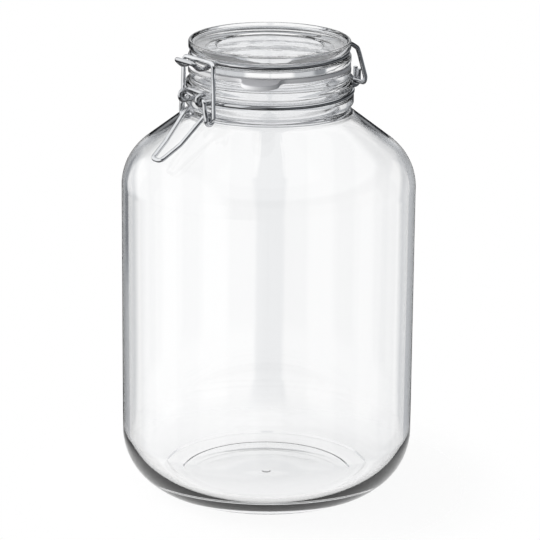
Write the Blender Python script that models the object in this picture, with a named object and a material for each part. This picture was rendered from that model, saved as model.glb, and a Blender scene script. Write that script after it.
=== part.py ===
"""Clamp lid storage jar: a glass jar and lid, a rubber gasket and a clamp made of four wires.

Metres, +Z up. The jar stands on z = 0 around the Z axis, with its clamp at -Y and its hinge at
+Y. The sizes below are in millimetres and degrees, and MM turns millimetres into metres.
"""

import math

import bmesh
import bpy
from mathutils import Matrix, Vector

MM = 0.001
JAR_SEGMENTS = 54
LID_SEGMENTS = 46

# Glass jar, from the foot to the shoulder.
BODY_RADIUS = 90.5
BODY_WALL = 4.0
FOOT_BORE = 50.0
FOOT_WIDTH = 4.5
PUSH_UP = 5.0
FLOOR_HEIGHT = 9.8
INNER_HEEL = 22.0
SIDE_TOP = 194.05
SHOULDER_RADIUS = 38.0
SHOULDER_SLOPE = 35.4

# Neck, whose parts stand on each other from the shoulder up to the rim.
MOUTH_RADIUS = 42.5
BEAD_WALL = 8.9
GROOVE_DEPTH = 2.6
RECESS_WALL = 4.9
RIM_WALL = 7.1
NOTCH_HEIGHT = 3.8
NOTCH_DEPTH = 1.9
LOWER_BEAD_HEIGHT = 5.6
GROOVE_WIDTH = 4.7
UPPER_BEAD_HEIGHT = 3.4
RECESS_HEIGHT = 5.3
RIM_HEIGHT = 3.3

# Gasket and glass lid.
REST_GAP = 0.3
GASKET_THICKNESS = 2.4
GASKET_INSET = 0.2
TAB_AZIMUTH = 45.5
TAB_HALF_WIDTH = 11.5
TAB_LENGTH = 17.8
BOSS_CLEARANCE = 1.9
BOSS_DEPTH = 1.7
BOSS_FIT = 0.4
FLANGE_HEIGHT = 4.6
LID_GROOVE_DEPTH = 4.0
LID_GROOVE_SPARE = 0.8
CREST_HEIGHT = 5.9
CREST_INSET = 2.5
DISH_DEPTH = 4.0
DISC_RADIUS = 31.0
DISC_STEP = 0.9

# Wires. One diameter serves all four, and an eye or a coil runs round the wire inside it.
WIRE = 2.8
SIDE_GAP = 0.15

# Neck wire: two eyes in front of the ring, and two hooks side by side behind it.
EYE_REACH = 8.4
EYE_RISE = 2.9
EYE_X = 8.3
CROSSBAR_SET = 3.5
HOOK_GAP = 0.4
HOOK_RISE = 6.9
HOOK_STEP = 1.0

# Lid wire: a nose in front of the ring and the hinge bar behind it.
NOSE_X = 8.25
NOSE_LENGTH = 18.05
NOSE_VALLEY = 2.2
NOSE_LIFT = 2.2
ARM_X = 10.8
HINGE_REACH = 17.3
HINGE_DROP = 3.9

# Lever handle and bail loop, which turn on each other at the coils.
COIL_NESTLE = 1.1
COIL_BELOW_BEAD = 1.2
COIL_SPLAY = 0.95
PIN_END = 5.0
LEG_SLOPE = 44.0
LEG_LENGTH = 22.5
KNEE_X = 6.9
GRIP_SLOPE = 34.1
GRIP_LENGTH = 15.4
GRIP_X = 4.0
BAR_GAP = 1.0
BAR_REACH = 7.1
BAR_X = 14.2

# Radii and heights that follow from the sizes above.
SHOULDER_CENTRE = BODY_RADIUS - SHOULDER_RADIUS
CONE_NORMAL = math.radians(90 - SHOULDER_SLOPE)
CONE_RISE = math.tan(math.radians(SHOULDER_SLOPE))
BEAD_RADIUS = MOUTH_RADIUS + BEAD_WALL
GROOVE_RADIUS = BEAD_RADIUS - GROOVE_DEPTH
RECESS_RADIUS = MOUTH_RADIUS + RECESS_WALL
RIM_RADIUS = MOUTH_RADIUS + RIM_WALL
NECK_Z = SIDE_TOP + SHOULDER_RADIUS * math.sin(CONE_NORMAL)
NECK_Z += (SHOULDER_CENTRE + SHOULDER_RADIUS * math.cos(CONE_NORMAL) - BEAD_RADIUS + 0.5) * CONE_RISE
LOWER_BEAD_Z = NECK_Z + NOTCH_HEIGHT
GROOVE_Z = LOWER_BEAD_Z + LOWER_BEAD_HEIGHT
UPPER_BEAD_Z = GROOVE_Z + GROOVE_WIDTH
RECESS_Z = UPPER_BEAD_Z + UPPER_BEAD_HEIGHT
RIM_Z = RECESS_Z + RECESS_HEIGHT
RIM_TOP = RIM_Z + RIM_HEIGHT
GASKET_Z = RIM_TOP + REST_GAP
GASKET_TOP = GASKET_Z + GASKET_THICKNESS
GASKET_RADIUS = RIM_RADIUS - GASKET_INSET
BOSS_RADIUS = MOUTH_RADIUS - BOSS_CLEARANCE
LID_Z = GASKET_TOP + REST_GAP
LID_GROOVE_Z = LID_Z + FLANGE_HEIGHT
LID_GROOVE_TOP = LID_GROOVE_Z + WIRE + LID_GROOVE_SPARE
LID_GROOVE_RADIUS = RIM_RADIUS - LID_GROOVE_DEPTH
LID_TOP = LID_GROOVE_TOP + CREST_HEIGHT
EYE_RADIUS = WIRE + REST_GAP

# Ring radii and heights of the two rings, then (y, z) of each axis that a wire turns on.
NECK_RING = GROOVE_RADIUS + WIRE / 2 + REST_GAP
NECK_RING_Z = GROOVE_Z + GROOVE_WIDTH / 2
LID_RING = LID_GROOVE_RADIUS + WIRE / 2 + REST_GAP
LID_RING_Z = (LID_GROOVE_Z + LID_GROOVE_TOP) / 2
EYE_AXIS = (-NECK_RING - EYE_REACH, NECK_RING_Z + EYE_RISE)
HINGE_AXIS = (RIM_RADIUS + HINGE_REACH, NECK_RING_Z - HINGE_DROP)
COIL_AXIS = (COIL_NESTLE - BEAD_RADIUS - EYE_RADIUS - WIRE / 2, LOWER_BEAD_Z - COIL_BELOW_BEAD)
BAR = (-LID_RING - BAR_REACH, LID_RING_Z - NOSE_VALLEY + WIRE + BAR_GAP)
STRUT_X = EYE_X + WIRE + SIDE_GAP
COIL_X = STRUT_X + COIL_SPLAY
BAIL_X = COIL_X + WIRE + 2 * SIDE_GAP
LEG_X = COIL_X - WIRE - 0.1
HOOK_X = (WIRE + HOOK_GAP) / 2


def clear_scene():
    for old in list(bpy.data.objects):
        bpy.data.objects.remove(old, do_unlink=True)


def material(name, colour, roughness, metallic=0.0, transmission=0.0):
    made = bpy.data.materials.new(name)
    made.use_nodes = True
    shader = made.node_tree.nodes["Principled BSDF"]
    shader.inputs["Base Color"].default_value = (*colour, 1.0)
    shader.inputs["Roughness"].default_value = roughness
    shader.inputs["Metallic"].default_value = metallic
    shader.inputs["Transmission Weight"].default_value = transmission
    made.diffuse_color = (*colour, 1.0)
    made.metallic = metallic
    made.roughness = roughness
    return made


def pivot(name, at, parent=None):
    """An empty on a joint's axis, at (y, z). Its pieces are drawn from it."""
    holder = bpy.data.objects.new(name, None)
    holder.empty_display_size = 10 * MM
    holder.location = Vector((0, *at)) * MM
    if parent:
        holder.parent = parent
        holder.location -= parent.location
    bpy.context.scene.collection.objects.link(holder)
    return holder


def place(obj, look, axis=None, holder=None):
    """Links a piece, with its origin on the axis (y, z) that it turns about."""
    obj.data.materials.append(look)
    if holder:
        obj.data.transform(Matrix.Translation(-Vector((0, *axis)) * MM))
        obj.parent = holder
    bpy.context.scene.collection.objects.link(obj)
    return obj


def arc(centre, radius, start, end, steps):
    """Points on a circle from one angle to another, in degrees, both ends included."""
    angles = [math.radians(start + (end - start) * i / steps) for i in range(steps + 1)]
    return [(centre[0] + radius * math.cos(a), centre[1] + radius * math.sin(a)) for a in angles]


def step_out(radius, low, high, corner):
    """A ledge's outline, going up, with both corners eased."""
    return [(radius - corner, low), (radius, low + corner), (radius, high - corner), (radius - corner, high)]


def revolve(name, profile, segments):
    """Spins a profile of (radius, height) points, which starts and ends on the axis."""
    work = bmesh.new()
    line = [work.verts.new(Vector((r, 0, z)) * MM) for r, z in profile]
    edges = [work.edges.new(pair) for pair in zip(line[:-1], line[1:])]
    bmesh.ops.spin(work, geom=line + edges, axis=(0, 0, 1), steps=segments, angle=2 * math.pi)
    bmesh.ops.remove_doubles(work, verts=work.verts, dist=0.001 * MM)
    bmesh.ops.recalc_face_normals(work, faces=work.faces)
    mesh = bpy.data.meshes.new(name)
    work.to_mesh(mesh)
    work.free()
    mesh.shade_smooth()
    return bpy.data.objects.new(name, mesh)


def underside():
    """The pushed-up underside, with the small mould pip at its centre, then the foot."""
    heel = BODY_RADIUS - FOOT_BORE - FOOT_WIDTH
    dome = [(0.0, PUSH_UP - 1.3), (1.7, PUSH_UP - 1.1), (2.8, PUSH_UP - 0.1)]
    for share in (0.28, 0.56, 0.78, 0.92):
        dome.append((FOOT_BORE * share, PUSH_UP * math.cos(math.pi / 2 * share**1.6)))
    dome.append((FOOT_BORE, 0.0))
    return dome + arc((BODY_RADIUS - heel, heel), heel, -90, 0, 9)


def neck_outline():
    """The neck from the shoulder up: notch, bead, wire groove, bead, recess and rim."""
    root = BEAD_RADIUS - 0.5
    line = [(root + 3.0, NECK_Z - 3.0 * CONE_RISE), (root, NECK_Z)]
    line += [(BEAD_RADIUS - NOTCH_DEPTH, NECK_Z + 1.7), (BEAD_RADIUS - NOTCH_DEPTH, LOWER_BEAD_Z - 0.9)]
    line += step_out(BEAD_RADIUS, LOWER_BEAD_Z, GROOVE_Z, 0.9)
    line += [(GROOVE_RADIUS, GROOVE_Z + 1.1), (GROOVE_RADIUS, UPPER_BEAD_Z - 1.1)]
    line += step_out(BEAD_RADIUS - 0.2, UPPER_BEAD_Z, RECESS_Z, 0.8)
    line += [(RECESS_RADIUS + 0.9, RECESS_Z + 0.4), (RECESS_RADIUS, RECESS_Z + 1.3)]
    line += [(RECESS_RADIUS, RIM_Z - 1.2), (RECESS_RADIUS + 0.9, RIM_Z - 0.3)]
    return line + step_out(RIM_RADIUS, RIM_Z, RIM_TOP, 0.8)


def inside():
    """The mouth, the inner shoulder, the inner wall and the floor, going down."""
    inner = SHOULDER_RADIUS - BODY_WALL
    slope_r = SHOULDER_CENTRE + inner * math.cos(CONE_NORMAL)
    slope_z = SIDE_TOP + inner * math.sin(CONE_NORMAL)
    bend = MOUTH_RADIUS + 3.0
    bend_z = slope_z + (slope_r - bend) * CONE_RISE
    line = [(MOUTH_RADIUS + 1.2, RIM_TOP), (MOUTH_RADIUS + 0.3, RIM_TOP - 0.4)]
    line += [(MOUTH_RADIUS, RIM_TOP - 1.4), (MOUTH_RADIUS, bend_z + 5.2)]
    line += [(MOUTH_RADIUS + 0.7, bend_z + 2.6), (bend, bend_z)]
    line += arc((SHOULDER_CENTRE, SIDE_TOP), inner, 90 - SHOULDER_SLOPE, 0, 6)
    side = BODY_RADIUS - BODY_WALL
    line += [(side, SIDE_TOP * 0.6)]
    line += arc((side - INNER_HEEL, FLOOR_HEIGHT + INNER_HEEL), INNER_HEEL, 0, -90, 6)
    return line + [(0.0, FLOOR_HEIGHT)]


def jar_profile():
    shoulder = arc((SHOULDER_CENTRE, SIDE_TOP), SHOULDER_RADIUS, 0, 90 - SHOULDER_SLOPE, 6)
    return underside() + [(BODY_RADIUS, SIDE_TOP * 0.6)] + shoulder + neck_outline() + inside()


def lid_profile():
    """The boss, the lower flange, the wire groove, the crest and the dished top."""
    boss = RIM_TOP - BOSS_DEPTH
    line = [(0.0, boss), (BOSS_RADIUS - 1.0, boss), (BOSS_RADIUS, boss + 1.0), (BOSS_RADIUS, LID_Z)]
    line += step_out(RIM_RADIUS, LID_Z, LID_GROOVE_Z, 0.7)
    line += [(LID_GROOVE_RADIUS + 0.4, LID_GROOVE_Z), (LID_GROOVE_RADIUS, LID_GROOVE_Z + 0.4)]
    line += [(LID_GROOVE_RADIUS, LID_GROOVE_TOP - 0.4), (LID_GROOVE_RADIUS + 0.4, LID_GROOVE_TOP)]
    edge = RIM_RADIUS - 0.2
    crest = RIM_RADIUS - CREST_INSET
    line += [(edge - 0.7, LID_GROOVE_TOP), (edge, LID_GROOVE_TOP + 0.7), (edge, LID_TOP - 3.4)]
    line += [(edge - 0.4, LID_TOP - 1.9), (edge - 1.2, LID_TOP - 0.7), (crest, LID_TOP)]
    line += [(crest - 1.2, LID_TOP - 0.4), (crest - 2.2, LID_TOP - 1.5), (crest - 3.1, LID_TOP - 2.6)]
    line += [(crest - 4.1, LID_TOP - DISH_DEPTH + 0.6), (crest - 6.1, LID_TOP - DISH_DEPTH + 0.2)]
    line += [(DISC_RADIUS + 1.6, LID_TOP - DISH_DEPTH), (DISC_RADIUS, LID_TOP - DISH_DEPTH - DISC_STEP)]
    return line + [(0.0, LID_TOP - DISH_DEPTH - DISC_STEP - 0.1)]


def gasket_outline(steps=40):
    """The ring's outer edge with the pull tab, which points along +X before it is turned."""
    tip = GASKET_RADIUS + TAB_LENGTH
    half = [(tip, 0.0), (tip - 0.35, TAB_HALF_WIDTH * 0.35), (tip - 1.4, TAB_HALF_WIDTH * 0.64)]
    half += [(tip - 3.5, TAB_HALF_WIDTH * 0.85), (tip - 6.3, TAB_HALF_WIDTH * 0.97)]
    half += [(GASKET_RADIUS + 3.6, TAB_HALF_WIDTH), (GASKET_RADIUS + 1.2, TAB_HALF_WIDTH + 0.7)]
    root = math.degrees(math.asin((TAB_HALF_WIDTH + 2.6) / GASKET_RADIUS))
    ring = arc((0, 0), GASKET_RADIUS, root, 360 - root, steps)
    return half + ring + [(u, -v) for u, v in half[:0:-1]]


def build_gasket():
    """Joins loops round the gasket's section: bore, underside, eased outer edge and top."""
    work = bmesh.new()
    ease = GASKET_THICKNESS / 4
    bore = BOSS_RADIUS + BOSS_FIT
    section = [(0, GASKET_Z), (ease, GASKET_Z), (0, GASKET_Z + ease)]
    section += [(0, GASKET_TOP - ease), (ease, GASKET_TOP), (0, GASKET_TOP)]
    loops = []
    for row, (inset, z) in enumerate(section):
        loop = []
        for u, v in gasket_outline():
            turned = math.atan2(v, u) + math.radians(TAB_AZIMUTH - 90)
            radius = bore if row in (0, 5) else math.hypot(u, v) - inset
            spot = Vector((radius * math.cos(turned), radius * math.sin(turned), z))
            loop.append(work.verts.new(spot * MM))
        loops.append(loop)
    for one, other in zip(loops, loops[1:] + loops[:1]):
        for i in range(len(one)):
            work.faces.new((one[i - 1], one[i], other[i], other[i - 1]))
    bmesh.ops.recalc_face_normals(work, faces=work.faces)
    mesh = bpy.data.meshes.new("rubber_gasket")
    work.to_mesh(mesh)
    work.free()
    mesh.shade_smooth()
    mesh.set_sharp_from_angle(angle=math.radians(50))
    return bpy.data.objects.new("rubber_gasket", mesh)


def rounded(corners, step=26.0):
    """A path through (x, y, z, radius) corners, each turned on its own radius."""
    points = [Vector(corners[0][:3])]
    for before, here, after in zip(corners[:-2], corners[1:-1], corners[2:]):
        corner = Vector(here[:3])
        back = (Vector(before[:3]) - corner).normalized()
        ahead = (Vector(after[:3]) - corner).normalized()
        turn = math.pi - back.angle(ahead)
        if here[3] == 0 or turn < 0.01:
            points.append(corner)
            continue
        centre = corner + (back + ahead).normalized() * (here[3] / math.cos(turn / 2))
        start = corner + back * (here[3] * math.tan(turn / 2)) - centre
        axis = back.cross(start).normalized()
        count = max(1, round(math.degrees(turn) / step))
        for i in range(count + 1):
            points.append(centre + Matrix.Rotation(turn * i / count, 3, axis) @ start)
    points.append(Vector(corners[-1][:3]))
    return points


def ring_half(radius, height, front_x, back_x, bend, steps=22):
    """The +X half of a ring, front to back, bent at both ends onto lines along Y."""
    front = math.acos((front_x + bend) / (radius + bend))
    back = math.acos((back_x + bend) / (radius + bend))
    points = []
    for x, side, angle in ((front_x, -1, front), (back_x, 1, back)):
        centre = (x + bend, side * (radius + bend) * math.sin(angle))
        turn = arc(centre, bend, 180, 180 + side * math.degrees(angle), 3)
        points.append(turn if side < 0 else turn[::-1])
    ring = arc((0, 0), radius, -math.degrees(front), math.degrees(back), steps)[1:-1]
    return [Vector((x, y, height)) for x, y in points[0] + ring + points[1]]


def mirrored(points):
    """The path, then its mirror image in X back again."""
    return points + [Vector((-p.x, p.y, p.z)) for p in reversed(points)]


def wire(name, points, closed=False):
    """A round wire along a path, with its cut ends eased unless it closes on itself."""
    curve = bpy.data.curves.new(name, "CURVE")
    curve.dimensions = "3D"
    curve.bevel_depth = WIRE / 2 * MM
    curve.bevel_resolution = 2
    curve.use_fill_caps = not closed
    sizes = [1.0] * len(points)
    if not closed:
        ease = WIRE / 7
        first = points[0] + (points[1] - points[0]).normalized() * ease
        last = points[-1] + (points[-2] - points[-1]).normalized() * ease
        points = [points[0], first, *points[1:-1], last, points[-1]]
        sizes = [0.78, *sizes, 0.78]
    spline = curve.splines.new("POLY")
    spline.points.add(len(points) - 1)
    spline.use_cyclic_u = closed
    for knot, spot, size in zip(spline.points, points, sizes):
        knot.co = (*(spot * MM), 1)
        knot.radius = size
    return bpy.data.objects.new(name, curve)


def neck_wire_path():
    """From one hook round the ring to an eye, across the crossbar and back to the other hook."""
    y, z = EYE_AXIS
    eye = [(EYE_X, p, q) for p, q in arc((y, z), EYE_RADIUS, 90, 270, 8)]
    bar = (y + CROSSBAR_SET, z + EYE_RADIUS)
    bend = rounded([(0, *bar, 0), (EYE_X, *bar, 2.0), (*eye[0], 0)], 30)[1:-1]
    half = bend + [Vector(p) for p in eye]
    half += ring_half(NECK_RING, NECK_RING_Z, EYE_X, HOOK_X, 2.5)
    y, z = HINGE_AXIS
    hook = [(HOOK_X, p, q, 0) for p, q in arc((y, z), EYE_RADIUS, 180, 360, 8)]
    corner = (HOOK_X, y - EYE_RADIUS, NECK_RING_Z, 2.2)
    half += rounded([(*half[-1], 0), corner, hook[0]], 30)[1:-1] + [Vector(p[:3]) for p in hook]
    right = half + [Vector((HOOK_X, y + EYE_RADIUS, z + HOOK_RISE))]
    left = half + [Vector((HOOK_X, y + EYE_RADIUS, z + HOOK_RISE + HOOK_STEP))]
    return right[::-1] + [Vector((-p.x, p.y, p.z)) for p in left]


def lid_wire_path():
    """The nose, half of the ring, the arm down to the hinge bar, and the same mirrored."""
    ring = ring_half(LID_RING, LID_RING_Z, NOSE_X, ARM_X, 2.5)
    tip = (-LID_RING - NOSE_LENGTH, LID_RING_Z + NOSE_LIFT)
    low = LID_RING_Z - NOSE_VALLEY
    corners = [(0, *tip, 0), (NOSE_X, *tip, 2.4)]
    for reach, z in ((0.74, low + 0.2), (0.57, low), (0.39, low + 0.2)):
        corners.append((NOSE_X, -LID_RING - NOSE_LENGTH * reach, z, 4.0))
    corners += [(NOSE_X, -RIM_RADIUS - 1.0, LID_RING_Z, 4.0), (*ring[0], 0)]
    half = rounded(corners)[1:-1] + ring
    y, z = HINGE_AXIS
    corners = [(*ring[-1], 0), (ARM_X, RIM_RADIUS + 1.0, LID_RING_Z, 6.0)]
    corners += [(ARM_X, y - 10.6, LID_RING_Z - 1.8, 8.0), (ARM_X, y - 6.2, LID_RING_Z - 4.7, 4.0)]
    corners += [(ARM_X, y - 4.7, LID_RING_Z - 8.3, 5.0), (ARM_X, y + 0.5, z + 3.8, 3.0)]
    corners += [(ARM_X, y, z, 2.0), (0, y, z, 0)]
    return mirrored(half + rounded(corners)[1:-1])


def lever_path():
    """A pin in one eye, the strut down to the coil, the leg and the grip, and the same mirrored."""
    ay, az = EYE_AXIS
    by, bz = COIL_AXIS
    apart = math.hypot(az - bz, ay - by)
    start = math.degrees(math.atan2(az - bz, ay - by) + math.acos(EYE_RADIUS / apart))
    steps = 15
    coil = []
    for i, (y, z) in enumerate(arc(COIL_AXIS, EYE_RADIUS, start, 450 + LEG_SLOPE, steps)):
        coil.append(Vector((COIL_X + (LEG_X - COIL_X) * i / steps, y, z)))
    corners = [(PIN_END, ay, az, 0), (STRUT_X, ay, az, 1.9)]
    for x, share in ((STRUT_X, 0.42), (COIL_X, 0.84)):
        corners.append((x, ay + (coil[0].y - ay) * share, az + (coil[0].z - az) * share, 5.0))
    half = rounded(corners + [(*coil[0], 0)])[:-1] + coil
    out, down = math.radians(LEG_SLOPE), math.radians(GRIP_SLOPE)
    knee = coil[-1] - LEG_LENGTH * Vector((0, math.cos(out), math.sin(out)))
    tip = knee - GRIP_LENGTH * Vector((0, math.cos(down), math.sin(down)))
    knee.x, tip.x = KNEE_X, GRIP_X
    corners = [(*coil[-1], 0), (*knee, 9.0), (*tip, 3.1), (0, tip.y, tip.z, 0)]
    return mirrored(half + rounded(corners, 24)[1:-1])


def bail_path():
    """A pin in one coil, a leg up, half of the bar over the nose, and the same mirrored."""
    corners = [(PIN_END, *COIL_AXIS, 0), (BAIL_X, *COIL_AXIS, 2.0), (BAR_X, *BAR, 3.2), (0, *BAR, 0)]
    return mirrored(rounded(corners, 23)[:-1])


def main():
    clear_scene()
    glass = material("clear_glass", (0.90, 0.94, 0.93), 0.03, transmission=1.0)
    lid_glass = material("lid_glass", (0.88, 0.93, 0.92), 0.03, transmission=1.0)
    rubber = material("white_rubber", (0.86, 0.86, 0.84), 0.55)
    neck_steel = material("neck_steel", (0.72, 0.73, 0.74), 0.18, metallic=1.0)
    lid_steel = material("lid_steel", (0.70, 0.71, 0.72), 0.18, metallic=1.0)
    lever_steel = material("lever_steel", (0.74, 0.75, 0.76), 0.16, metallic=1.0)
    bail_steel = material("bail_steel", (0.73, 0.74, 0.75), 0.17, metallic=1.0)
    place(revolve("glass_jar", jar_profile(), JAR_SEGMENTS), glass)
    place(wire("neck_wire", neck_wire_path()), neck_steel)
    lid = pivot("lid_hinge", HINGE_AXIS)
    place(revolve("glass_lid", lid_profile(), LID_SEGMENTS), lid_glass, HINGE_AXIS, lid)
    place(build_gasket(), rubber, HINGE_AXIS, lid)
    place(wire("lid_wire", lid_wire_path(), closed=True), lid_steel, HINGE_AXIS, lid)
    lever = pivot("lever_pivot", EYE_AXIS)
    place(wire("lever_handle", lever_path()), lever_steel, EYE_AXIS, lever)
    bail = pivot("bail_pivot", COIL_AXIS, lever)
    place(wire("bail_loop", bail_path()), bail_steel, COIL_AXIS, bail)


main()
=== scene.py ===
"""A clamp lid storage jar of clear glass: jar, dished lid, gasket and a clamp of bright wire."""

import math

import bmesh
import bpy
from mathutils import Matrix, Vector

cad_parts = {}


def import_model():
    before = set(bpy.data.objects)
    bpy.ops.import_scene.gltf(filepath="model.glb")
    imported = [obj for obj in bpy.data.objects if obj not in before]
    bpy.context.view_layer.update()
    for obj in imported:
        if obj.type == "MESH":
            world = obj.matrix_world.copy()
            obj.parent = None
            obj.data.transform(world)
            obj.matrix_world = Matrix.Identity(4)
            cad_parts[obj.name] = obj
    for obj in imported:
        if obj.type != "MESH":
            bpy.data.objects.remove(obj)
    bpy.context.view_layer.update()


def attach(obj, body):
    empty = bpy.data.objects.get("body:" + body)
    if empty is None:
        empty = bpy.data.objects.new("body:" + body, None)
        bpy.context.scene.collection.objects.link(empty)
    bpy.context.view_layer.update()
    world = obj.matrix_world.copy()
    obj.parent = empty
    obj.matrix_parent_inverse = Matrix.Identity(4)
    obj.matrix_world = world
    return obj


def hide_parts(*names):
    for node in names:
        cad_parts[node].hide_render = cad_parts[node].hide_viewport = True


MM = 0.001

# Glass jar, in millimetres and degrees, from the foot to the shoulder.
BODY_RADIUS = 90.2
BODY_WALL = 4.0
OUTER_HEEL = 35.6
FOOT_EDGE = 53.8
FOOT_RUN = 1.2
FOOT_DROP = 0.3
FOOT_EASE = 0.2
UNDER_RISE = 0.7
UNDER_EASE = 0.8
PIP_RADIUS = 2.8   # the small mark that the mould leaves under the centre
PIP_FLAT = 1.9
PIP_DEPTH = 0.5
PIP_DISH = 0.05
PIP_EASE = 0.5
FLOOR_HEIGHT = 9.7
INNER_HEEL = 28.9
INNER_HEEL_TURN = 76.0
FLOOR_STEP = 1.4
STEP_RUN = 0.9
STEP_UPPER_EASE = 0.6
STEP_LOWER_EASE = 0.5
SIDE_TOP = 193.5
SHOULDER_RADIUS = 32.2
SHOULDER_SLOPE = 37.7

# Neck. An ease is the radius on which a corner is rounded.
NECK_Z = 241.806
FLARE_RADIUS = 7.0
FLARE_RUN = 9.0
INNER_TURN_RISE = 3.0
INNER_TURN_EASE = 7.0
INNER_RUN = 6.0
MOUTH_RADIUS = 42.5
BEAD_WALL = 8.9
GROOVE_DEPTH = 2.6
RECESS_WALL = 4.9
RIM_WALL = 7.1
NOTCH_HEIGHT = 3.8
NOTCH_DEPTH = 1.9
LOWER_BEAD_HEIGHT = 5.6
GROOVE_WIDTH = 4.7
UPPER_BEAD_HEIGHT = 3.4
RECESS_HEIGHT = 5.3
RIM_HEIGHT = 3.3
NOTCH_LEAN = 0.4
NOTCH_EASE = 0.7
BEAD_EASE = 1.4
UPPER_BEAD_INSET = 0.2
GROOVE_EASE = 0.9
GROOVE_LEAN = 0.8
RECESS_LEAN = 0.5
RECESS_RISE = 2.0
RECESS_EASE = 3.5
RIM_LEAN = 0.4
RIM_LOWER_EASE = 1.8
RIM_OUTER_EASE = 1.1
RIM_INNER_EASE = 1.4

# Gasket and lid.
REST_GAP = 0.3
GASKET_THICKNESS = 2.4
GASKET_INSET = 0.2
GASKET_SEAT = 0.04
TAB_AZIMUTH = 45.5
TAB_HALF_WIDTH = 11.5
TAB_LENGTH = 17.8
TAB_OVERLAP = 2.0
TAB_DROOP = 0.1
TAB_CORNER = 0.97   # share of the half width on which the tab's end is turned
TAB_ROOT = ((3.6, 0.0), (1.2, 0.7), (-0.7, 1.5))   # outward and sideways, where tab meets ring
TAB_ROOT_END = 2.6
GASKET_EASE = 0.7
SHARP_EDGE = 1.2   # radians
BOSS_CLEARANCE = 1.9
BOSS_DEPTH = 1.7
BOSS_FIT = 0.4
BOSS_EASE = 1.2
BOSS_ROOT_EASE = 0.4
FLANGE_HEIGHT = 4.6
FLANGE_EASE = 1.0
LID_INSET = 0.2
LID_GROOVE_DEPTH = 4.0
LID_GROOVE_SPARE = 0.8
CREST_HEIGHT = 5.9
CREST_INSET = 1.4
CREST_DROP = 0.4
CREST_SIDE = 1.0
CREST_PEAK = 0.2
CREST_BACK = 1.5
CREST_FALL = 1.9
CREST_SIDE_EASE = 1.2
CREST_BACK_EASE = 1.3
DISH_DEPTH = 4.0
DISC_RADIUS = 32.0
DISC_STEP = 0.9
DISC_SLOPE = 1.2
DISC_EASE = 0.8
DISH_CROWN = 0.1
LID_EASE = 0.9

# Wires. A bend is the radius of the wire's middle line.
WIRE = 2.8
SIDE_GAP = 0.15
RING_BEND = 2.5
END_ROUNDING = ((0.0, 0.72), (0.12, 0.86), (0.3, 0.97))   # place and thickness, as shares
EYE_REACH = 8.4
EYE_RISE = 2.9
EYE_X = 8.3
CROSSBAR_SET = 3.5
CROSSBAR_BEND = 2.0
HOOK_GAP = 0.4
HOOK_RISE = 6.9
HOOK_STEP = 1.0
HOOK_BEND = 2.2
NOSE_X = 8.25
NOSE_LENGTH = 18.05
NOSE_VALLEY = 2.2
NOSE_LIFT = 2.2
NOSE_TIP_BEND = 2.4
NOSE_BEND = 4.0
NOSE_BENDS = ((0.74, 0.2), (0.57, 0.0), (0.39, 0.2))   # share of the length, height over the valley
ARM_X = 10.8
RIM_CLEARANCE = 1.0
HINGE_REACH = 17.3
HINGE_DROP = 3.9
ARM_ROOT_BEND = 6.0
HINGE_BEND = 2.0
# Reach from the hinge axis, height from the lid ring, and bend.
ARM_BENDS = ((-10.6, -1.8, 8.0), (-6.2, -4.7, 4.0), (-4.7, -8.3, 5.0))
ARM_END = (0.5, 3.8, 3.0)   # reach, height over the hinge axis, and bend
COIL_NESTLE = 1.1
COIL_BELOW_BEAD = 1.2
COIL_SPLAY = 0.95
PIN_END = 5.0
PIN_BEND = 1.9
STRUT_BENDS = (0.42, 0.84)   # shares of the strut
STRUT_BEND = 5.0
LEG_SLOPE = 44.0
LEG_LENGTH = 22.5
LEG_GAP = 0.1
KNEE_BEND = 9.0
KNEE_X = 6.9
GRIP_SLOPE = 34.1
GRIP_LENGTH = 15.4
GRIP_X = 4.0
GRIP_BEND = 3.1
BAR_GAP = 1.0
BAR_REACH = 7.1
BAR_X = 14.2
BAIL_PIN_BEND = 2.0
BAR_BEND = 3.2

# Sizes that follow.
SHOULDER_CENTRE = BODY_RADIUS - SHOULDER_RADIUS
CONE_NORMAL = math.radians(90 - SHOULDER_SLOPE)
CONE_RISE = math.tan(math.radians(SHOULDER_SLOPE))
BEAD_RADIUS = MOUTH_RADIUS + BEAD_WALL
GROOVE_RADIUS = BEAD_RADIUS - GROOVE_DEPTH
RECESS_RADIUS = MOUTH_RADIUS + RECESS_WALL
RIM_RADIUS = MOUTH_RADIUS + RIM_WALL
LOWER_BEAD_Z = NECK_Z + NOTCH_HEIGHT
GROOVE_Z = LOWER_BEAD_Z + LOWER_BEAD_HEIGHT
UPPER_BEAD_Z = GROOVE_Z + GROOVE_WIDTH
RECESS_Z = UPPER_BEAD_Z + UPPER_BEAD_HEIGHT
RIM_Z = RECESS_Z + RECESS_HEIGHT
RIM_TOP = RIM_Z + RIM_HEIGHT
GASKET_Z = RIM_TOP + REST_GAP
GASKET_TOP = GASKET_Z + GASKET_THICKNESS
GASKET_RADIUS = RIM_RADIUS - GASKET_INSET
BOSS_RADIUS = MOUTH_RADIUS - BOSS_CLEARANCE
LID_Z = GASKET_TOP + REST_GAP
LID_GROOVE_Z = LID_Z + FLANGE_HEIGHT
LID_GROOVE_TOP = LID_GROOVE_Z + WIRE + LID_GROOVE_SPARE
LID_GROOVE_RADIUS = RIM_RADIUS - LID_GROOVE_DEPTH
LID_TOP = LID_GROOVE_TOP + CREST_HEIGHT
EYE_RADIUS = WIRE + REST_GAP
NECK_RING = GROOVE_RADIUS + WIRE / 2 + REST_GAP
NECK_RING_Z = GROOVE_Z + GROOVE_WIDTH / 2
LID_RING = LID_GROOVE_RADIUS + WIRE / 2 + REST_GAP
LID_RING_Z = (LID_GROOVE_Z + LID_GROOVE_TOP) / 2
EYE_AXIS = (-NECK_RING - EYE_REACH, NECK_RING_Z + EYE_RISE)
HINGE_AXIS = (RIM_RADIUS + HINGE_REACH, NECK_RING_Z - HINGE_DROP)
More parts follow.
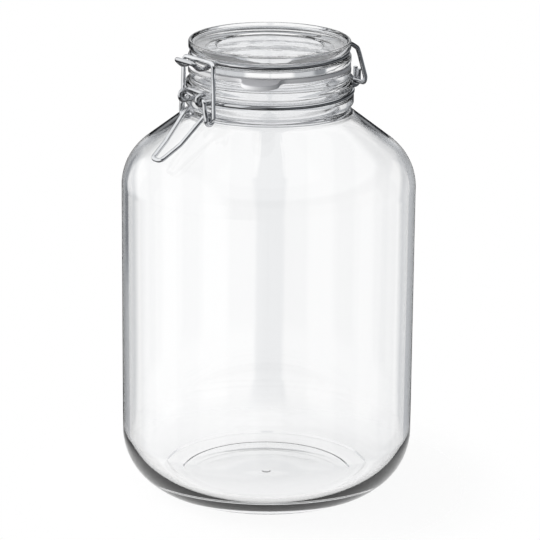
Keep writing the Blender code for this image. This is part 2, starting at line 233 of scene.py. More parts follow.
COIL_AXIS = (COIL_NESTLE - BEAD_RADIUS - EYE_RADIUS - WIRE / 2, LOWER_BEAD_Z - COIL_BELOW_BEAD)
BAR = (-LID_RING - BAR_REACH, LID_RING_Z - NOSE_VALLEY + WIRE + BAR_GAP)
STRUT_X = EYE_X + WIRE + SIDE_GAP
COIL_X = STRUT_X + COIL_SPLAY
BAIL_X = COIL_X + WIRE + 2 * SIDE_GAP
LEG_X = COIL_X - WIRE - LEG_GAP
HOOK_X = (WIRE + HOOK_GAP) / 2

# Finishes.
CLEAR_TINT = (0.998, 0.999, 1.0)
THICK_TINT = (0.88, 0.885, 0.895)
THICK_START = -4.0   # from NECK_Z
THICK_END = 6.0
GLASS_IOR = 1.5
GLASS_HAZE = 0.012
JAR_RIPPLE = (0.03, 0.05)   # strength, and share of the fine ripples
LID_RIPPLE = (0.15, 0.6)
# One steel in two copies: lightened on the clamp for whiter highlights, and on the rings kept darker
# below with strong painted shade, for the shade in the grooves.
CLAMP_LIT_TINT = (0.92, 0.93, 0.95)
RING_TINT = (0.76, 0.77, 0.79)
WIRE_ROUGHNESS = 0.06
WIRE_DULL = 0.86
# Painted shade on the wires: the share of their colour kept on sides that face down, and the upward
# shares of the normal over which it fades out.
CLAMP_UNDERSIDE_SHADE = 0.6
RING_UNDERSIDE_SHADE = 0.15
UNDERSIDE_SHADE_TURN = (-0.35, 0.15)
# Gasket: its own white inside the ring, and a painted-shade grey on the outer top faces and, in part,
# on the outer sides.
RUBBER_SHADE_GREY = (0.33, 0.33, 0.345)
RUBBER_WHITE = (0.95, 0.95, 0.95)
RUBBER_FADE = (0.3, 3.0)   # inwards from the gasket's edge
RUBBER_TOP = (0.1, 0.8)
RUBBER_INNER = 0.9   # shares of white: inside the ring, on its side and in patches
RUBBER_SIDE = 0.38
RUBBER_CLOUD = 0.1
RUBBER_ROUGHNESS = 0.42

# Camera, found from the jar's outline in the photograph.
VIEW_AZIMUTH = 51.0
VIEW_ELEVATION = 16.88
VIEW_ROLL = 0.50
VIEW_DISTANCE = 1900.0
VIEW_SIDE = 1.28
VIEW_HEIGHT = 138.16
LENS = 204.57
SENSOR = 36.0

# Studio. Directions and heights are in degrees, and levels are shares of white. Each pair of
# values gives the start and the end of a soft change.
BACKGROUND_RAYS = ("Is Camera Ray", "Is Glossy Ray", "Is Transmission Ray")
FRONT = VIEW_AZIMUTH - 90.0   # towards the camera
RIGHT = VIEW_AZIMUTH
BEHIND = VIEW_AZIMUTH + 90.0
LEFT_SHARE = (0.40, 0.65)   # of the way to the camera's left
SHADE_TINT = (0.86, 0.92, 1.0)

# Seen through the glass: white panels at even steps round the jar, with dim gaps between.
PANEL_STEP = 45.0
PANEL_SIDE = (17.0, 10.0)
PANEL_TOP = (22.0, 16.0)
PANEL_FOOT = (-60.0, -50.0)
STRIP_SIDE = (0.56, 0.35)   # a dimmer line down the middle of each panel
STRIP_DEPTH = 0.12
GAP_LEVEL = 0.64
UPPER_LEVEL = 0.42
UPPER_HEIGHT = (28.0, 14.0)
ROOF_HEIGHT = (58.0, 70.0)
ROOF_LEVEL = 0.8
LEFT_FOOT = (5.0, 20.0)
FLAG_TURN = 28.0   # a dark flag, this far from straight behind towards the left
FLAG_SIDE = (6.5, 2.5)
FLAG_FOOT = (-18.0, -16.0)
FLAG_DEPTH = 0.55

# Mirrored by the wires: a dark room with a low band, a back wall, a sky and a left wall.
MIRROR_DARK = 0.03
BAND_TURN = -60.0   # from the camera's direction to the middle of the bright part, on the left
BAND_SIDE = (62.0, 45.0)
BAND_REST = (120.0, 100.0)   # the duller rest of the band, from the camera's direction
BAND_REST_LEVEL = 0.12
BAND_TOP = (-7.0, -11.0)
BAND_FOOT = (-30.0, -24.0)
LOWER_TOP = (2.0, -6.0)
LOWER_SIDE = (90.0, 60.0)
LOWER_LEVEL = 0.25
BACK_SIDE = (156.0, 168.0)
BACK_FOOT = (-4.0, 4.0)
BACK_TOP = (42.0, 30.0)
BACK_LEVEL = 0.85
SKY_FOOT = (30.0, 38.0)
SKY_LEVEL = 0.9
WALL_FOOT = (-14.0, -6.0)

# Light on matt surfaces: a fill that leans to the left and one lamp, in metres and watts.
FILL_LEVEL = 0.8
FILL_LEAN = 0.9
KEY_AZIMUTH = VIEW_AZIMUTH - 95.0
KEY_ELEVATION = 30.0
KEY_DISTANCE = 1.2
KEY_SIZE = 0.8
KEY_POWER = 12.0
KEY_TARGET = 0.15
BOUNCES = 24

# Floor, in metres.
FLOOR_COLOUR = 0.9
FLOOR_WHITE = 0.93
FLOOR_RADIUS = 0.170
FLOOR_FADE = 0.110
FLOOR_DROP = 0.0003


class Socket:
    """An output or a value in a shader, on which arithmetic adds Math nodes."""

    def __init__(self, shader, source):
        self.shader = shader
        self.source = source

    def math(self, operation, first, second):
        return self.shader.math_node(operation, first, second)

    def __add__(self, other):
        return self.math("ADD", self, other)

    def __radd__(self, other):
        return self.math("ADD", other, self)

    def __sub__(self, other):
        return self.math("SUBTRACT", self, other)

    def __rsub__(self, other):
        return self.math("SUBTRACT", other, self)

    def __mul__(self, other):
        return self.math("MULTIPLY", self, other)

    def __rmul__(self, other):
        return self.math("MULTIPLY", other, self)


class Shader:
    """The node tree of a material or of the world."""

    def __init__(self, owner):
        owner.use_nodes = True
        self.tree = owner.node_tree
        self.tree.nodes.clear()

    def node(self, kind, settings=None, inputs=None, output=0):
        """Adds a node: its settings first, then the values and links of its sockets."""
        made = self.tree.nodes.new(kind)
        for name, value in (settings or {}).items():
            if name == "stops":
                ramp = made.color_ramp
                while len(ramp.elements) < len(value):
                    ramp.elements.new(0.5)
                for stop, (place, colour) in zip(ramp.elements, value):
                    stop.position = place
                    stop.color = (*colour, 1.0)
            else:
                setattr(made, name, value)
        for name, value in (inputs or {}).items():
            if isinstance(value, Socket):
                self.tree.links.new(value.source, made.inputs[name])
            else:
                made.inputs[name].default_value = value
        return Socket(self, made.outputs[output]) if made.outputs else None

    def math_node(self, operation, first, *others):
        inputs = {i: value for i, value in enumerate((first, *others))}
        return self.node("ShaderNodeMath", {"operation": operation}, inputs)

    def largest(self, first, *others):
        for value in others:
            first = self.math_node("MAXIMUM", first, value)
        return first

    def ramp(self, value, start, end, kind="LINEAR"):
        """0 at one value and 1 at the other, and no further."""
        ends = {"From Min": min(start, end), "From Max": max(start, end)}
        ends.update({"To Min": float(start > end), "To Max": float(start < end)})
        return self.node("ShaderNodeMapRange", {"interpolation_type": kind}, {"Value": value, **ends})

    def soft_step(self, angle, start, end):
        """0 at one angle and 1 at the other, both in degrees, with a soft change between."""
        return self.ramp(angle, math.radians(start), math.radians(end), "SMOOTHSTEP")

    def colours(self, value, *stops):
        """Colours between stops, each a place and a colour."""
        return self.node("ShaderNodeValToRGB", {"stops": stops}, {"Fac": value})

    def bump(self, height, strength, distance):
        inputs = {"Strength": strength, "Distance": distance, "Height": height}
        return self.node("ShaderNodeBump", {}, inputs)

    def noise(self, at, scale, detail=2.0, rough=0.5):
        inputs = {"Vector": at, "Scale": scale, "Detail": detail, "Roughness": rough}
        return self.node("ShaderNodeTexNoise", {}, inputs)


def finish(name, build):
    """A material whose surface the function builds."""
    material = bpy.data.materials.new(name)
    shader = Shader(material)
    surface = build(shader)
    shader.node("ShaderNodeOutputMaterial", {}, {"Surface": surface})
    return material


def object_space(shader):
    return shader.node("ShaderNodeTexCoord", output="Object")


def clear_glass(shader, thick, ripple):
    """Pressed soda glass: faint flow lines left by the mould, and a deeper tint in the thick neck."""
    place = object_space(shader)
    strength, fine_share = ripple
    height = shader.node("ShaderNodeSeparateXYZ", {}, {"Vector": place}, "Z")
    low, high = (NECK_Z + THICK_START) * MM, (NECK_Z + THICK_END) * MM
    upper = shader.ramp(height, low, high, "SMOOTHSTEP")
    flow = shader.node("ShaderNodeMapping", {}, {"Vector": place, "Scale": (1.0, 1.0, 0.35)})
    wave = shader.noise(flow, scale=14.0, detail=1.0, rough=0.4)
    haze = shader.noise(place, scale=35.0, detail=3.0, rough=0.6)
    fine = shader.noise(place, scale=60.0, detail=2.0, rough=0.4)
    inputs = {
        "Base Color": shader.colours(upper, (0.0, CLEAR_TINT), (1.0, thick)),
        "Roughness": haze * GLASS_HAZE,
        "IOR": GLASS_IOR,
        "Transmission Weight": 1.0,
        "Normal": shader.bump(wave * 0.8 + fine * fine_share, strength, distance=0.002),
    }
    return shader.node("ShaderNodeBsdfPrincipled", {}, inputs)


def facing(shader, low, high):
    """0 where a surface's upward share is the first value or less, 1 from the second on."""
    normal = shader.node("ShaderNodeNewGeometry", output="Normal")
    upward = shader.node("ShaderNodeSeparateXYZ", {}, {"Vector": normal}, "Z")
    return shader.ramp(upward, low, high)


def bright_wire(shader, colour, underside_shade):
    """Drawn steel wire: fine die marks, slightly uneven brightness, and painted shade that darkens
    the sides facing down.
    """
    place = object_space(shader)
    cloud = shader.noise(place, scale=90.0, detail=3.0, rough=0.6)
    marks = shader.noise(place, scale=900.0, detail=2.0, rough=0.6)
    dull = [c * WIRE_DULL for c in colour]
    tone = shader.colours(cloud, (0.3, dull), (0.7, colour))
    # Painted shade: the colour darkens where the wire faces down.
    turned_up = facing(shader, *UNDERSIDE_SHADE_TURN)
    shade = shader.colours(turned_up, (0.0, [underside_shade] * 3), (1.0, (1.0, 1.0, 1.0)))
    tone = shader.node("ShaderNodeVectorMath", {"operation": "MULTIPLY"}, {0: tone, 1: shade})
    inputs = {
        "Base Color": tone,
        "Metallic": 1.0,
        "Roughness": cloud * WIRE_ROUGHNESS + WIRE_ROUGHNESS / 2,
        "Normal": shader.bump(marks, strength=0.06, distance=0.0002),
    }
    return shader.node("ShaderNodeBsdfPrincipled", {}, inputs)


def white_rubber(shader):
    """White rubber with a soft grain and random patches; painted shade makes it grey on the tab's top
    and the ring's outer top, part grey on the outer sides, and leaves it white inside the ring.
    """
    place = object_space(shader)
    cloud = shader.noise(place, scale=45.0, detail=3.0, rough=0.6)
    grain = shader.noise(place, scale=1500.0, detail=2.0, rough=0.6)
    level = {0: place, 1: (1.0, 1.0, 0.0)}
    flat = shader.node("ShaderNodeVectorMath", {"operation": "MULTIPLY"}, level)
    reach = shader.node("ShaderNodeVectorMath", {"operation": "LENGTH"}, {0: flat}, 1)
    inner = shader.ramp(reach, *((GASKET_RADIUS - inset) * MM for inset in RUBBER_FADE))
    # Painted shade: outside the ring, faces that don't point up are part grey, and faces that point
    # up stay grey.
    side = (1.0 - inner) * (1.0 - facing(shader, *RUBBER_TOP))
    share = inner * RUBBER_INNER + side * RUBBER_SIDE + cloud * RUBBER_CLOUD
    inputs = {
        "Base Color": shader.colours(share, (0.0, RUBBER_SHADE_GREY), (1.0, RUBBER_WHITE)),
        "Roughness": cloud * 0.15 + RUBBER_ROUGHNESS,
        "Normal": shader.bump(grain, strength=0.15, distance=0.0002),
    }
    return shader.node("ShaderNodeBsdfPrincipled", {}, inputs)


def arc(centre, radius, start, end, steps):
    """Points on a circle from one angle to another, in degrees, both ends included."""
    angles = [math.radians(start + (end - start) * i / steps) for i in range(steps + 1)]
    return [(centre[0] + radius * math.cos(a), centre[1] + radius * math.sin(a)) for a in angles]


def rounded(corners, step=8.0):
    """A path through (x, y, z, radius) corners, each turned on its own radius."""
    points = [Vector(corners[0][:3])]
    for before, here, after in zip(corners[:-2], corners[1:-1], corners[2:]):
        corner = Vector(here[:3])
        back = (Vector(before[:3]) - corner).normalized()
        ahead = (Vector(after[:3]) - corner).normalized()
        turn = math.pi - back.angle(ahead)
        if here[3] == 0 or turn < 0.01:
            points.append(corner)
            continue
        centre = corner + (back + ahead).normalized() * (here[3] / math.cos(turn / 2))
        start = corner + back * (here[3] * math.tan(turn / 2)) - centre
        axis = back.cross(start).normalized()
        count = max(2, round(math.degrees(turn) / step))
        for i in range(count + 1):
            points.append(centre + Matrix.Rotation(turn * i / count, 3, axis) @ start)
    points.append(Vector(corners[-1][:3]))
    return points


def eased(corners):
    """A turned profile through (radius, height, ease) corners, as (radius, height) points."""
    return [(p.x, p.z) for p in rounded([(r, 0, z, ease) for r, z, ease in corners], 15)]


def turned(name, profile, segments=192):
    """Spins a profile, which starts and ends on the axis, into a closed piece of glass."""
    work = bmesh.new()
    line = [work.verts.new(Vector((r, 0, z)) * MM) for r, z in profile]
    edges = [work.edges.new(pair) for pair in zip(line[:-1], line[1:])]
    spin = {"cent": (0, 0, 0), "axis": (0, 0, 1), "steps": segments, "angle": 2 * math.pi}
    bmesh.ops.spin(work, geom=line + edges, use_merge=True, **spin)
    bmesh.ops.remove_doubles(work, verts=work.verts, dist=0.001 * MM)
    bmesh.ops.recalc_face_normals(work, faces=work.faces)
    return piece(name, work)


def piece(name, work):
    mesh = bpy.data.meshes.new(name)
    work.to_mesh(mesh)
    work.free()
    mesh.shade_smooth()
    made = bpy.data.objects.new(name, mesh)
    bpy.context.scene.collection.objects.link(made)
    return made


def ledge(radius, low, high, ease):
    return [(radius, low, ease), (radius, high, ease)]


def jar_profile():
    heel = BODY_RADIUS - OUTER_HEEL
    pip = UNDER_RISE - PIP_DEPTH
    under = [(0.0, pip, 0), (PIP_FLAT, pip + PIP_DISH, PIP_EASE), (PIP_RADIUS, UNDER_RISE, PIP_EASE)]
    under.append((FOOT_EDGE - FOOT_RUN, UNDER_RISE - FOOT_DROP, UNDER_EASE))
    under += [(FOOT_EDGE, 0.0, FOOT_EASE), (heel, 0.0, 0)]
    outside = arc((heel, OUTER_HEEL), OUTER_HEEL, -90, 0, 30)[1:]
    outside += arc((SHOULDER_CENTRE, SIDE_TOP), SHOULDER_RADIUS, 0, 90 - SHOULDER_SLOPE, 20)
    notch = BEAD_RADIUS - NOTCH_DEPTH
    cone_r, cone_z = outside[-1]
    flare_z = cone_z + (cone_r - notch) * CONE_RISE
    neck = [(notch + FLARE_RUN, flare_z - FLARE_RUN * CONE_RISE, 0), (notch, flare_z, FLARE_RADIUS)]
    neck.append((notch, LOWER_BEAD_Z - NOTCH_LEAN, NOTCH_EASE))
    neck += ledge(BEAD_RADIUS, LOWER_BEAD_Z, GROOVE_Z, BEAD_EASE)
    neck += ledge(GROOVE_RADIUS, GROOVE_Z + GROOVE_LEAN, UPPER_BEAD_Z - GROOVE_LEAN, GROOVE_EASE)
    neck += ledge(BEAD_RADIUS - UPPER_BEAD_INSET, UPPER_BEAD_Z, RECESS_Z - RECESS_LEAN, BEAD_EASE)
    neck.append((RECESS_RADIUS, RECESS_Z + RECESS_RISE, RECESS_EASE))
    neck += [(RIM_RADIUS, RIM_Z + RIM_LEAN, RIM_LOWER_EASE), (RIM_RADIUS, RIM_TOP, RIM_OUTER_EASE)]
    neck.append((MOUTH_RADIUS, RIM_TOP, RIM_INNER_EASE))
    inner = SHOULDER_RADIUS - BODY_WALL
    slope_r = SHOULDER_CENTRE + inner * math.cos(CONE_NORMAL)
    slope_z = SIDE_TOP + inner * math.sin(CONE_NORMAL)
    turn_z = slope_z + (slope_r - MOUTH_RADIUS) * CONE_RISE
    neck.append((MOUTH_RADIUS, turn_z + INNER_TURN_RISE, INNER_TURN_EASE))
    neck.append((slope_r - INNER_RUN, slope_z + INNER_RUN * CONE_RISE, 0))
    inside = arc((SHOULDER_CENTRE, SIDE_TOP), inner, 90 - SHOULDER_SLOPE, 0, 20)
    side = BODY_RADIUS - BODY_WALL
    turn = math.radians(INNER_HEEL_TURN)
    flat = side - INNER_HEEL * (1.0 - math.cos(turn))
    start = FLOOR_HEIGHT + INNER_HEEL * math.sin(turn)
    inside += arc((side - INNER_HEEL, start), INNER_HEEL, 0, -INNER_HEEL_TURN, 20)[:-2]
    low = FLOOR_HEIGHT - FLOOR_STEP
    floor = [(*inside.pop(), 0), (flat, FLOOR_HEIGHT, STEP_UPPER_EASE)]
    floor += [(flat - STEP_RUN, low, STEP_LOWER_EASE), (0.0, low, 0)]
    return eased(under) + outside + eased(neck) + inside + eased(floor)


def lid_profile():
    boss = RIM_TOP - BOSS_DEPTH
    edge = RIM_RADIUS - LID_INSET
    crest = RIM_RADIUS - CREST_INSET
    top = LID_TOP - CREST_DROP
    floor = LID_TOP - DISH_DEPTH
    line = [(0.0, boss, 0), (BOSS_RADIUS, boss, BOSS_EASE), (BOSS_RADIUS, LID_Z, BOSS_ROOT_EASE)]
    line += ledge(RIM_RADIUS, LID_Z, LID_GROOVE_Z, FLANGE_EASE)
    line += ledge(LID_GROOVE_RADIUS, LID_GROOVE_Z, LID_GROOVE_TOP, LID_EASE)
    line += [(edge, LID_GROOVE_TOP, LID_EASE), (edge, top - CREST_SIDE, CREST_SIDE_EASE)]
    line.append((crest, top + CREST_PEAK, LID_EASE))
    line.append((crest - CREST_BACK, top - CREST_FALL, CREST_BACK_EASE))
    line.append((DISC_RADIUS + DISC_SLOPE, floor + DISH_CROWN, DISC_EASE))
    line.append((DISC_RADIUS, floor - DISC_STEP, DISC_EASE))
    line.append((0.0, floor - DISC_STEP - DISH_CROWN, 0))
    return eased(line)


def gasket_outline(steps=120):
    tip = GASKET_RADIUS + TAB_LENGTH
    corners = [(tip, 0, 0, 0), (tip, TAB_HALF_WIDTH, 0, TAB_HALF_WIDTH * TAB_CORNER)]
    corners.append((GASKET_RADIUS - TAB_OVERLAP, TAB_HALF_WIDTH, 0, 0))
    half = [(p.x, p.y) for p in rounded(corners, 8)[:-1]]
    half += [(GASKET_RADIUS + out, TAB_HALF_WIDTH + aside) for out, aside in TAB_ROOT]
    root = math.degrees(math.asin((TAB_HALF_WIDTH + TAB_ROOT_END) / GASKET_RADIUS))
    ring = arc((0, 0), GASKET_RADIUS, root, 360 - root, steps)
    return half + ring + [(u, -v) for u, v in half[:0:-1]]


def gasket():
    """The flat ring with its pull tab: the outline filled, thickened and its edge eased."""
    work = bmesh.new()
    low, high = GASKET_Z - REST_GAP + GASKET_SEAT, GASKET_TOP + REST_GAP - GASKET_SEAT
    turn = math.radians(TAB_AZIMUTH - 90)
    loops = []
    for radius in (None, BOSS_RADIUS + BOSS_FIT):
        loop = []
        for u, v in gasket_outline():
            angle = math.atan2(v, u) + turn
            size = radius or math.hypot(u, v)
            share = 0.0 if radius else max(0.0, (u - GASKET_RADIUS) / TAB_LENGTH)
            sag = TAB_DROOP * share**1.5
            spot = Vector((size * math.cos(angle), size * math.sin(angle), low - sag))
            loop.append(work.verts.new(spot * MM))
        loops.append([work.edges.new(pair) for pair in zip(loop, loop[1:] + loop[:1])])
    band = bmesh.ops.bridge_loops(work, edges=loops[0] + loops[1])["faces"]
    raised = bmesh.ops.extrude_face_region(work, geom=band)["geom"]
    lifted = [v for v in raised if isinstance(v, bmesh.types.BMVert)]
    bmesh.ops.translate(work, verts=lifted, vec=(0, 0, (high - low) * MM))
    bmesh.ops.recalc_face_normals(work, faces=work.faces)
    joined = [e for e in work.edges if len(e.link_faces) == 2]
    rims = [e for e in joined if e.calc_face_angle(0) > SHARP_EDGE]
    bevel = {"offset": GASKET_EASE * MM, "segments": 4, "profile": 0.5, "affect": "EDGES"}
    bmesh.ops.bevel(work, geom=rims, material=-1, **bevel)
    return piece("gasket_ring", work)


def ring_half(radius, height, front_x, back_x, bend, steps=90):
    """The +X half of a ring, front to back, bent at both ends onto lines along Y."""
    front = math.acos((front_x + bend) / (radius + bend))
    back = math.acos((back_x + bend) / (radius + bend))
    points = []
    for x, side, angle in ((front_x, -1, front), (back_x, 1, back)):
        centre = (x + bend, side * (radius + bend) * math.sin(angle))
        turn = arc(centre, bend, 180, 180 + side * math.degrees(angle), 9)
        points.append(turn if side < 0 else turn[::-1])
    ring = arc((0, 0), radius, -math.degrees(front), math.degrees(back), steps)[1:-1]
    return [Vector((x, y, height)) for x, y in points[0] + ring + points[1]]


def mirrored(points):
    return points + [Vector((-p.x, p.y, p.z)) for p in reversed(points)]


def wire(name, points, closed=False):
    """A round wire along a path, its cut ends rounded over unless it closes on itself."""
    curve = bpy.data.curves.new(name, "CURVE")
    curve.dimensions = "3D"
    curve.bevel_depth = WIRE / 2 * MM
    curve.bevel_resolution = 6
    curve.use_fill_caps = not closed
    sizes = [1.0] * len(points)
    if not closed:
        starts, ends, shrink = [], [], []
        for share, size in END_ROUNDING:
            reach = WIRE / 2 * share
            starts.append(points[0] + (points[1] - points[0]).normalized() * reach)
            ends.append(points[-1] + (points[-2] - points[-1]).normalized() * reach)
            shrink.append(size)
        points = starts + points[1:-1] + ends[::-1]
        sizes = shrink + sizes[1:-1] + shrink[::-1]
    spline = curve.splines.new("POLY")
    spline.points.add(len(points) - 1)
    spline.use_cyclic_u = closed
    for knot, spot, size in zip(spline.points, points, sizes):
        knot.co = (*(spot * MM), 1)
        knot.radius = size
    made = bpy.data.objects.new(name, curve)
    bpy.context.scene.collection.objects.link(made)
    return made


def neck_wire_path():
    y, z = EYE_AXIS
    eye = [(EYE_X, p, q) for p, q in arc((y, z), EYE_RADIUS, 90, 270, 24)]
    bar = (y + CROSSBAR_SET, z + EYE_RADIUS)
    bend = rounded([(0, *bar, 0), (EYE_X, *bar, CROSSBAR_BEND), (*eye[0], 0)])[1:-1]
    half = bend + [Vector(p) for p in eye]
    half += ring_half(NECK_RING, NECK_RING_Z, EYE_X, HOOK_X, RING_BEND)
    y, z = HINGE_AXIS
    hook = [(HOOK_X, p, q, 0) for p, q in arc((y, z), EYE_RADIUS, 180, 360, 24)]
    corner = (HOOK_X, y - EYE_RADIUS, NECK_RING_Z, HOOK_BEND)
    half += rounded([(*half[-1], 0), corner, hook[0]])[1:-1] + [Vector(p[:3]) for p in hook]
    right = half + [Vector((HOOK_X, y + EYE_RADIUS, z + HOOK_RISE))]
    left = half + [Vector((HOOK_X, y + EYE_RADIUS, z + HOOK_RISE + HOOK_STEP))]
    return right[::-1] + [Vector((-p.x, p.y, p.z)) for p in left]


def lid_wire_path():
    ring = ring_half(LID_RING, LID_RING_Z, NOSE_X, ARM_X, RING_BEND)
    tip = (-LID_RING - NOSE_LENGTH, LID_RING_Z + NOSE_LIFT)
    low = LID_RING_Z - NOSE_VALLEY
    corners = [(0, *tip, 0), (NOSE_X, *tip, NOSE_TIP_BEND)]
    for share, rise in NOSE_BENDS:
        corners.append((NOSE_X, -LID_RING - NOSE_LENGTH * share, low + rise, NOSE_BEND))
    corners += [(NOSE_X, -RIM_RADIUS - RIM_CLEARANCE, LID_RING_Z, NOSE_BEND), (*ring[0], 0)]
    half = rounded(corners)[1:-1] + ring
    y, z = HINGE_AXIS
    corners = [(*ring[-1], 0), (ARM_X, RIM_RADIUS + RIM_CLEARANCE, LID_RING_Z, ARM_ROOT_BEND)]
    corners += [(ARM_X, y + reach, LID_RING_Z + rise, bend) for reach, rise, bend in ARM_BENDS]
    reach, rise, bend = ARM_END
    corners += [(ARM_X, y + reach, z + rise, bend), (ARM_X, y, z, HINGE_BEND), (0, y, z, 0)]
    return mirrored(half + rounded(corners)[1:-1])


def lever_path():
    ay, az = EYE_AXIS
    by, bz = COIL_AXIS
    apart = math.hypot(az - bz, ay - by)
    start = math.degrees(math.atan2(az - bz, ay - by) + math.acos(EYE_RADIUS / apart))
    steps = 60
    coil = []
    for i, (y, z) in enumerate(arc(COIL_AXIS, EYE_RADIUS, start, 450 + LEG_SLOPE, steps)):
        coil.append(Vector((COIL_X + (LEG_X - COIL_X) * i / steps, y, z)))
    corners = [(PIN_END, ay, az, 0), (STRUT_X, ay, az, PIN_BEND)]
    for x, share in zip((STRUT_X, COIL_X), STRUT_BENDS):
        y, z = ay + (coil[0].y - ay) * share, az + (coil[0].z - az) * share
        corners.append((x, y, z, STRUT_BEND))
    half = rounded(corners + [(*coil[0], 0)])[:-1] + coil
    out, down = math.radians(LEG_SLOPE), math.radians(GRIP_SLOPE)
    knee = coil[-1] - LEG_LENGTH * Vector((0, math.cos(out), math.sin(out)))
    tip = knee - GRIP_LENGTH * Vector((0, math.cos(down), math.sin(down)))
    knee.x, tip.x = KNEE_X, GRIP_X
    corners = [(*coil[-1], 0), (*knee, KNEE_BEND), (*tip, GRIP_BEND), (0, tip.y, tip.z, 0)]
    return mirrored(half + rounded(corners)[1:-1])


def bail_path():
    corners = [(PIN_END, *COIL_AXIS, 0), (BAIL_X, *COIL_AXIS, BAIL_PIN_BEND)]
    corners += [(BAR_X, *BAR, BAR_BEND), (0, *BAR, 0)]
    return mirrored(rounded(corners)[:-1])


def dress(made, material, body, node):
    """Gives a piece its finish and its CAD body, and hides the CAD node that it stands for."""
    made.data.materials.append(material)
    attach(made, body)
    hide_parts(node)


def add_camera():
    azimuth, elevation, roll = (math.radians(a) for a in (VIEW_AZIMUTH, VIEW_ELEVATION, VIEW_ROLL))
    turn = Matrix.Rotation(azimuth, 3, "Z")
    back = turn @ Vector((0, -math.cos(elevation), math.sin(elevation)))
    right = turn @ Vector((1, 0, 0))
    up = back.cross(right)
    across = math.cos(roll) * right + math.sin(roll) * up
    upright = -math.sin(roll) * right + math.cos(roll) * up
    data = bpy.data.cameras.new("camera")
    data.lens = LENS
    data.sensor_width = SENSOR
    data.clip_end = 20
    camera = bpy.data.objects.new("camera", data)
    target = Vector((0, 0, VIEW_HEIGHT)) + right * VIEW_SIDE
    rows = Matrix((across, upright, back)).transposed().to_4x4()
    camera.matrix_world = Matrix.Translation((target + back * VIEW_DISTANCE) * MM) @ rows
    bpy.context.scene.collection.objects.link(camera)
    bpy.context.scene.camera = camera


def seen_directly(shader):
    """1 for rays from the camera and for those that glass and metal pass on, else 0."""
    rays = [shader.node("ShaderNodeLightPath", output=name) for name in BACKGROUND_RAYS]
    depth = shader.node("ShaderNodeLightPath", output="Diffuse Depth")
    clear = shader.math_node("LESS_THAN", depth, 0.5)
    return shader.math_node("MINIMUM", rays[0] + rays[1] + rays[2], 1.0) * clear, rays


def around(shader, x, y, azimuth, half=180.0):
    """The angle from an azimuth, or from the nearest of those that repeat, twice half apart."""
    turn = shader.math_node("ARCTAN2", y, x) - math.radians(azimuth)
    span = math.radians(half)
    return shader.math_node("ABSOLUTE", shader.math_node("WRAP", turn, span, -span))


def through_glass(shader, x, y, height, left):
    """What glass shows: white panels between dim gaps, a roof, a left wall and a dark flag."""
    off = around(shader, x, y, BEHIND, PANEL_STEP / 2)
    panel = shader.soft_step(off, *PANEL_SIDE) * shader.soft_step(height, *PANEL_TOP)
    panel = panel * shader.soft_step(height, *PANEL_FOOT)
    strip = shader.soft_step(off, *STRIP_SIDE) * STRIP_DEPTH
    dim = shader.soft_step(height, *UPPER_HEIGHT) * (GAP_LEVEL - UPPER_LEVEL) + UPPER_LEVEL
    roof = shader.soft_step(height, *ROOF_HEIGHT) * ROOF_LEVEL
    wall = left * shader.soft_step(height, *LEFT_FOOT) * ROOF_LEVEL
    flag = shader.soft_step(around(shader, x, y, BEHIND + FLAG_TURN), *FLAG_SIDE)
    flag = flag * shader.soft_step(height, *FLAG_FOOT)
    level = shader.largest(dim, panel * (1.0 - strip), roof, wall)
    return level * (1.0 - flag * FLAG_DEPTH)


def in_metal(shader, x, y, height, left):
    """What metal mirrors: a dark room with a low band, a back wall, a sky and a left wall."""
    front = around(shader, x, y, FRONT)
    bright = shader.soft_step(around(shader, x, y, FRONT + BAND_TURN), *BAND_SIDE)
    rest = shader.soft_step(front, *BAND_REST) * BAND_REST_LEVEL
    band = shader.largest(bright, rest) * shader.soft_step(height, *BAND_TOP)
    band = band * shader.soft_step(height, *BAND_FOOT)
    lower = shader.soft_step(around(shader, x, y, RIGHT), *LOWER_SIDE) * LOWER_LEVEL
    lower = lower * shader.soft_step(height, *LOWER_TOP)
    back = shader.soft_step(front, *BACK_SIDE) * shader.soft_step(height, *BACK_FOOT)
    back = back * shader.soft_step(height, *BACK_TOP) * BACK_LEVEL
    sky = shader.soft_step(height, *SKY_FOOT) * SKY_LEVEL
    wall = left * shader.soft_step(height, *WALL_FOOT)
    return shader.largest(band, lower, wall, back, sky, MIRROR_DARK)


def add_world():
    """White for the camera, panels for glass, a dark room for metal and a fill for the rest."""
    world = bpy.data.worlds.new("studio")
    bpy.context.scene.world = world
    shader = Shader(world)
    way = shader.node("ShaderNodeTexCoord", output="Generated")
    x, y, z = (shader.node("ShaderNodeSeparateXYZ", {}, {"Vector": way}, name) for name in "XYZ")
    height = shader.math_node("ARCSINE", z)
    side = math.radians(VIEW_AZIMUTH)
    lateral = x * -math.cos(side) - y * math.sin(side)
    left = shader.ramp(lateral, *LEFT_SHARE, "SMOOTHSTEP")
    mirror = in_metal(shader, x, y, height, left)
    seen, (camera_ray, _, glass_ray) = seen_directly(shader)
    fill = (lateral * FILL_LEAN + 1.0) * FILL_LEVEL
    level = glass_ray * (through_glass(shader, x, y, height, left) - mirror) + mirror
    level = seen * (level - fill) + fill
    level = camera_ray * (1.0 - level) + level
    tint = shader.colours(level, (0.0, SHADE_TINT), (1.0, (1.0, 1.0, 1.0)))
    ground = shader.node("ShaderNodeBackground", {}, {"Color": tint, "Strength": level})
    shader.node("ShaderNodeOutputWorld", {}, {"Surface": ground})


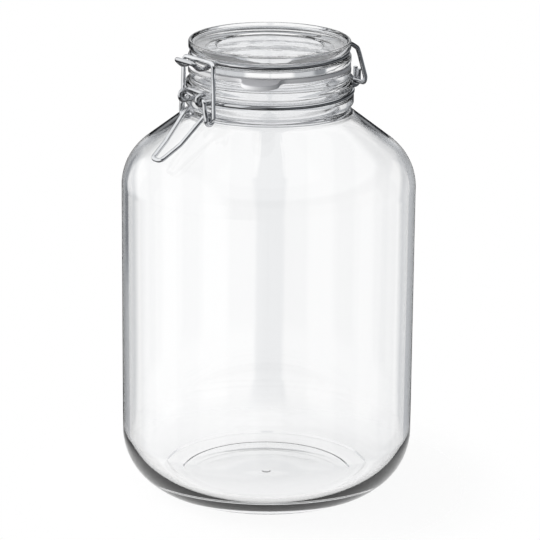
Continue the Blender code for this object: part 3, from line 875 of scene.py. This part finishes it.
def pale_floor(shader):
    """Matt white paper that fades into the white world at its edge."""
    place = object_space(shader)
    fibre = shader.noise(place, scale=900.0, detail=3.0, rough=0.6)
    inputs = {
        "Base Color": (FLOOR_COLOUR, FLOOR_COLOUR, FLOOR_COLOUR, 1.0),
        "Roughness": 0.9,
        "Specular IOR Level": 0.0,
        "Normal": shader.bump(fibre, strength=0.03, distance=0.0002),
    }
    paper = shader.node("ShaderNodeBsdfPrincipled", {}, inputs)
    white = shader.node("ShaderNodeEmission", {}, {"Color": (1, 1, 1, 1), "Strength": 1.0})
    clear = shader.node("ShaderNodeBsdfTransparent")
    seen, _ = seen_directly(shader)
    lit = shader.node("ShaderNodeMixShader", {}, {0: seen * FLOOR_WHITE, 1: paper, 2: white})
    reach = shader.node("ShaderNodeVectorMath", {"operation": "LENGTH"}, {0: place}, 1)
    edge = shader.ramp(reach, FLOOR_FADE, FLOOR_RADIUS, "SMOOTHSTEP")
    return shader.node("ShaderNodeMixShader", {}, {0: edge, 1: lit, 2: clear})


def add_floor():
    work = bmesh.new()
    bmesh.ops.create_circle(work, cap_ends=True, segments=128, radius=FLOOR_RADIUS)
    bmesh.ops.translate(work, verts=work.verts, vec=(0, 0, -FLOOR_DROP))
    floor = piece("paper_floor", work)
    floor.data.materials.append(finish("white_paper", pale_floor))


def add_lamp():
    """A soft square lamp on the left, aimed at the middle of the jar."""
    data = bpy.data.lights.new("key_lamp", "AREA")
    data.size = KEY_SIZE
    data.energy = KEY_POWER
    lamp = bpy.data.objects.new("key_lamp", data)
    turn = Matrix.Rotation(math.radians(KEY_AZIMUTH), 3, "Z")
    elevation = math.radians(KEY_ELEVATION)
    way = turn @ Vector((0, -math.cos(elevation), math.sin(elevation)))
    lamp.location = Vector((0, 0, KEY_TARGET)) + way * KEY_DISTANCE
    lamp.rotation_euler = way.to_track_quat("Z", "Y").to_euler()
    lamp.visible_glossy = False
    lamp.visible_transmission = False
    bpy.context.scene.collection.objects.link(lamp)


def main():
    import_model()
    glass = finish("clear_jar_glass", lambda s: clear_glass(s, THICK_TINT, JAR_RIPPLE))
    lid_glass = finish("clear_lid_glass", lambda s: clear_glass(s, CLEAR_TINT, LID_RIPPLE))
    rubber = finish("gasket_rubber", white_rubber)
    # The clamp's steel is a lightened copy, and the rings' steel a copy with heavy painted shade
    # below.
    steel = finish("clamp_steel_wire_lightened", lambda s: bright_wire(s, CLAMP_LIT_TINT, CLAMP_UNDERSIDE_SHADE))
    ring_steel = finish("ring_steel_wire_painted_shade", lambda s: bright_wire(s, RING_TINT, RING_UNDERSIDE_SHADE))
    dress(turned("jar_glass", jar_profile()), glass, "jar", "glass_jar")
    dress(turned("lid_glass_dish", lid_profile()), lid_glass, "lid", "glass_lid")
    dress(gasket(), rubber, "lid", "rubber_gasket")
    dress(wire("neck_ring_wire", neck_wire_path()), ring_steel, "jar", "neck_wire")
    dress(wire("lid_ring_wire", lid_wire_path(), True), ring_steel, "lid", "lid_wire")
    dress(wire("lever_handle_wire", lever_path()), steel, "lever", "lever_handle")
    dress(wire("bail_loop_wire", bail_path()), steel, "bail", "bail_loop")
    add_world()
    add_floor()
    add_lamp()
    add_camera()
    bpy.context.scene.cycles.max_bounces = BOUNCES
    bpy.context.scene.cycles.transmission_bounces = BOUNCES
    bpy.context.scene.view_settings.view_transform = "Standard"


main()
